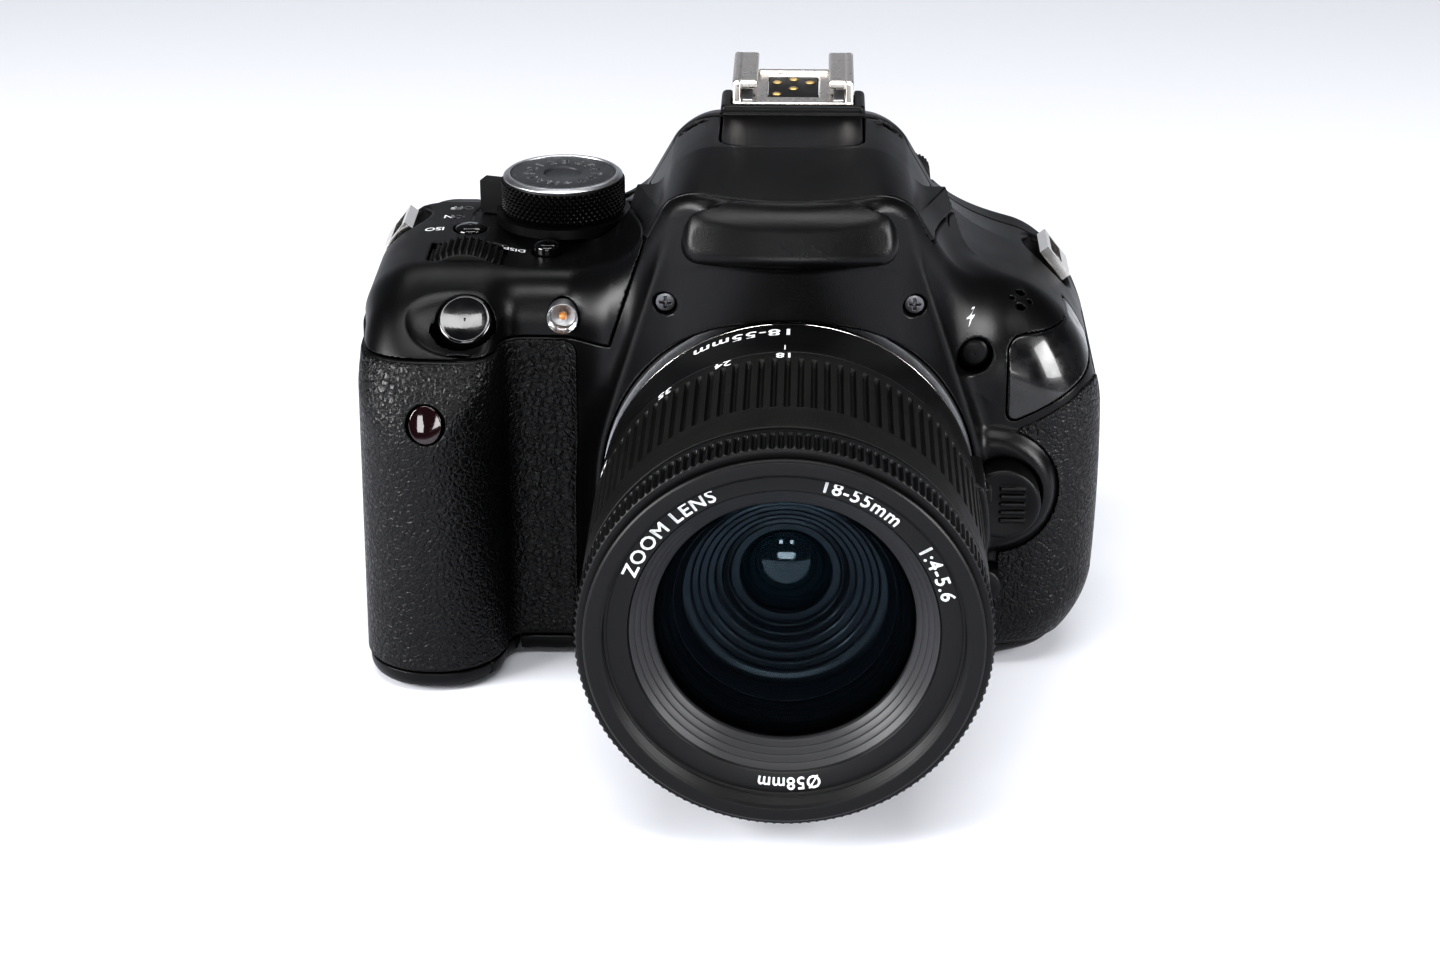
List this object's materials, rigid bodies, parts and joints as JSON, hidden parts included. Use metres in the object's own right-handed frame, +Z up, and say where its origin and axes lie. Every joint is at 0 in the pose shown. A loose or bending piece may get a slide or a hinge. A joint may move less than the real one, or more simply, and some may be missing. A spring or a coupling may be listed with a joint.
{
  "type": "digital single-lens reflex camera",
  "caption": "Single-lens reflex camera with a twist-off zoom lens, swinging rear screen, pop-up flash, dials and sprung buttons.",
  "frame": {"origin": "mouth of the tripod socket in the base, under the optical axis", "axes": "+Z up, -Y the way the lens points, +X away from the grip (to the right as seen from the front)"},
  "size_m": [0.1325, 0.1325, 0.0995],
  "materials": {
    "body_plastic": "satin",
    "button_plastic": "gloss",
    "grip_rubber": "matte",
    "plain_steel": "satin",
    "black_steel": "satin",
    "inner_plastic": "matte",
    "sensor": "gloss",
    "board": "satin",
    "glass": "clear",
    "mirror": "polished"
  },
  "bodies": {
    "camera": {"front_cover": "body_plastic", "top_cover": "body_plastic", "back_cover": "body_plastic", "base_cover": "body_plastic", "grip_rubber": "grip_rubber", "side_rubber": "grip_rubber", "name_plate": "button_plastic", "chassis": "plain_steel", "mirror_box": "inner_plastic", "body_bayonet": "plain_steel", "image_sensor": "sensor", "viewfinder_optics": "glass", "main_board": "board", "battery_pack": "inner_plastic", "memory_card": "inner_plastic", "tripod_socket": "plain_steel", "hot_shoe": "plain_steel", "strap_lugs": "plain_steel", "cover_screws": "black_steel", "front_windows": "glass"},
    "eyecup": {"eyecup": "grip_rubber"},
    "battery_door": {"battery_door": "body_plastic"},
    "card_door": {"card_door": "body_plastic"},
    "terminal_cover": {"terminal_cover": "grip_rubber"},
    "screen": {"screen_arm": "body_plastic", "screen_case": "body_plastic", "screen_glass": "glass"},
    "flash": {"flash_head": "body_plastic", "flash_window": "glass"},
    "shutter_button": {"shutter_button": "button_plastic"},
    "main_dial": {"main_dial": "body_plastic"},
    "iso_button": {"iso_button": "button_plastic"},
    "display_button": {"display_button": "button_plastic"},
    "power_switch": {"power_switch": "body_plastic"},
    "mode_dial": {"mode_dial": "body_plastic"},
    "lens_release": {"lens_release": "body_plastic"},
    "flash_button": {"flash_button": "button_plastic"},
    "preview_button": {"preview_button": "button_plastic"},
    "main_mirror": {"main_mirror": "mirror"},
    "diopter_knob": {"diopter_knob": "body_plastic"},
    "menu_button": {"menu_button": "button_plastic"},
    "info_button": {"info_button": "button_plastic"},
    "live_view_button": {"live_view_button": "button_plastic"},
    "exposure_button": {"exposure_button": "button_plastic"},
    "quick_button": {"quick_button": "button_plastic"},
    "cross_keys": {"cross_keys": "body_plastic"},
    "set_button": {"set_button": "button_plastic"},
    "playback_button": {"playback_button": "button_plastic"},
    "erase_button": {"erase_button": "button_plastic"},
    "exposure_lock_button": {"exposure_lock_button": "button_plastic"},
    "focus_point_button": {"focus_point_button": "button_plastic"},
    "lens": {"lens_mount": "inner_plastic", "lens_barrel": "body_plastic", "lens_glass": "glass"},
    "zoom": {"zoom_ring": "body_plastic"},
    "front_group": {"front_barrel": "body_plastic", "front_glass": "glass"},
    "focus": {"focus_ring": "body_plastic"},
    "focus_mode_switch": {"focus_mode_switch": "body_plastic"},
    "stabilizer_switch": {"stabilizer_switch": "body_plastic"}
  },
  "joints": [
    {"name": "eyecup_slide", "type": "slide", "parent": "camera", "child": "eyecup", "axis": [0, 0, 1], "range_m": [0, 0.012]},
    {"name": "battery_door_hinge", "type": "hinge", "parent": "camera", "child": "battery_door", "pos_m": [-0.0506, -0.011, 0.00175], "axis": [0, -1, 0], "range_deg": [0, 90]},
    {"name": "card_door_hinge", "type": "hinge", "parent": "camera", "child": "card_door", "pos_m": [-0.076, 0.0037, 0.04], "axis": [0, 0, 1], "range_deg": [0, 85]},
    {"name": "terminal_cover_hinge", "type": "hinge", "parent": "camera", "child": "terminal_cover", "pos_m": [0.0563, -0.0113, 0.038], "axis": [0, 0, -1], "range_deg": [0, 85]},
    {"name": "screen_swing", "type": "hinge", "parent": "camera", "child": "screen", "pos_m": [0.0526, 0.0278, 0.034], "axis": [0, 0, -1], "range_deg": [0, 175]},
    {"name": "flash_hinge", "type": "hinge", "parent": "camera", "child": "flash", "pos_m": [0, 0.006, 0.0915], "axis": [-1, 0, 0], "range_deg": [0, 60]},
    {"name": "shutter_press", "type": "slide", "parent": "camera", "child": "shutter_button", "axis": [0, 0.7071, -0.7071], "range_m": [0, 0.0012], "stiffness_N_per_m": 600},
    {"name": "main_dial_spin", "type": "hinge", "parent": "camera", "child": "main_dial", "pos_m": [-0.0575, -0.008, 0.066], "axis": [0, 1, 0], "continuous": true},
    {"name": "iso_press", "type": "slide", "parent": "camera", "child": "iso_button", "axis": [0, 0, -1], "range_m": [0, 0.0008], "stiffness_N_per_m": 800},
    {"name": "display_press", "type": "slide", "parent": "camera", "child": "display_button", "axis": [0, 0, -1], "range_m": [0, 0.0008], "stiffness_N_per_m": 800},
    {"name": "power_turn", "type": "hinge", "parent": "camera", "child": "power_switch", "pos_m": [-0.0415, 0.0103, 0.074], "axis": [0, 0, 1], "range_deg": [-30, 0]},
    {"name": "mode_dial_turn", "type": "hinge", "parent": "camera", "child": "mode_dial", "pos_m": [-0.0415, 0.0103, 0.078], "axis": [0, 0, 1], "range_deg": [-156, 156]},
    {"name": "lens_release_press", "type": "slide", "parent": "camera", "child": "lens_release", "axis": [0, 1, 0], "range_m": [0, 0.0015], "stiffness_N_per_m": 1200},
    {"name": "flash_button_press", "type": "slide", "parent": "camera", "child": "flash_button", "axis": [0, 1, 0], "range_m": [0, 0.0008], "stiffness_N_per_m": 800},
    {"name": "preview_press", "type": "slide", "parent": "camera", "child": "preview_button", "axis": [0, 1, 0], "range_m": [0, 0.0012], "stiffness_N_per_m": 800},
    {"name": "mirror_swing", "type": "hinge", "parent": "camera", "child": "main_mirror", "pos_m": [0, 0.0055, 0.0545], "axis": [-1, 0, 0], "range_deg": [0, 45]},
    {"name": "diopter_turn", "type": "hinge", "parent": "camera", "child": "diopter_knob", "pos_m": [0.0225, 0.026, 0.077], "axis": [0, 1, 0], "range_deg": [-120, 120]},
    {"name": "menu_press", "type": "slide", "parent": "camera", "child": "menu_button", "axis": [0, -1, 0], "range_m": [0, 0.0007], "stiffness_N_per_m": 800},
    {"name": "info_press", "type": "slide", "parent": "camera", "child": "info_button", "axis": [0, -1, 0], "range_m": [0, 0.0007], "stiffness_N_per_m": 800},
    {"name": "live_view_press", "type": "slide", "parent": "camera", "child": "live_view_button", "axis": [0, -1, 0], "range_m": [0, 0.0007], "stiffness_N_per_m": 800},
    {"name": "exposure_press", "type": "slide", "parent": "camera", "child": "exposure_button", "axis": [0, -1, 0], "range_m": [0, 0.0007], "stiffness_N_per_m": 800},
    {"name": "quick_press", "type": "slide", "parent": "camera", "child": "quick_button", "axis": [0, -1, 0], "range_m": [0, 0.0007], "stiffness_N_per_m": 800},
    {"name": "playback_press", "type": "slide", "parent": "camera", "child": "playback_button", "axis": [0, -1, 0], "range_m": [0, 0.0007], "stiffness_N_per_m": 800},
    {"name": "erase_press", "type": "slide", "parent": "camera", "child": "erase_button", "axis": [0, -1, 0], "range_m": [0, 0.0007], "stiffness_N_per_m": 800},
    {"name": "cross_keys_press", "type": "slide", "parent": "camera", "child": "cross_keys", "axis": [0, -1, 0], "range_m": [0, 0.0006], "stiffness_N_per_m": 1200},
    {"name": "set_press", "type": "slide", "parent": "camera", "child": "set_button", "axis": [0, -1, 0], "range_m": [0, 0.0008], "stiffness_N_per_m": 800},
    {"name": "exposure_lock_press", "type": "slide", "parent": "camera", "child": "exposure_lock_button", "axis": [0, -0.866, -0.5], "range_m": [0, 0.0008], "stiffness_N_per_m": 800},
    {"name": "focus_point_press", "type": "slide", "parent": "camera", "child": "focus_point_button", "axis": [0, -0.866, -0.5], "range_m": [0, 0.0008], "stiffness_N_per_m": 800},
    {"name": "lens_twist", "type": "hinge", "parent": "camera", "child": "lens", "pos_m": [0, -0.03, 0.038], "axis": [0, -1, 0], "range_deg": [0, 60]},
    {"name": "zoom_turn", "type": "hinge", "parent": "lens", "child": "zoom", "pos_m": [0, -0.065, 0.038], "axis": [0, 1, 0], "range_deg": [0, 70]},
    {"name": "zoom_extension", "type": "slide", "parent": "lens", "child": "front_group", "axis": [0, -1, 0], "range_m": [0, 0.0182]},
    {"name": "focus_turn", "type": "hinge", "parent": "front_group", "child": "focus", "pos_m": [0, -0.086, 0.038], "axis": [0, 1, 0], "range_deg": [-40, 40]},
    {"name": "focus_mode_slide", "type": "slide", "parent": "lens", "child": "focus_mode_switch", "axis": [0, -1, 0], "range_m": [0, 0.0036]},
    {"name": "stabilizer_slide", "type": "slide", "parent": "lens", "child": "stabilizer_switch", "axis": [0, -1, 0], "range_m": [0, 0.0036]}
  ],
  "couplings": [
    {"joint": "zoom_extension", "follows": "zoom_turn", "m_per_rad": 0.0147}
  ]
}
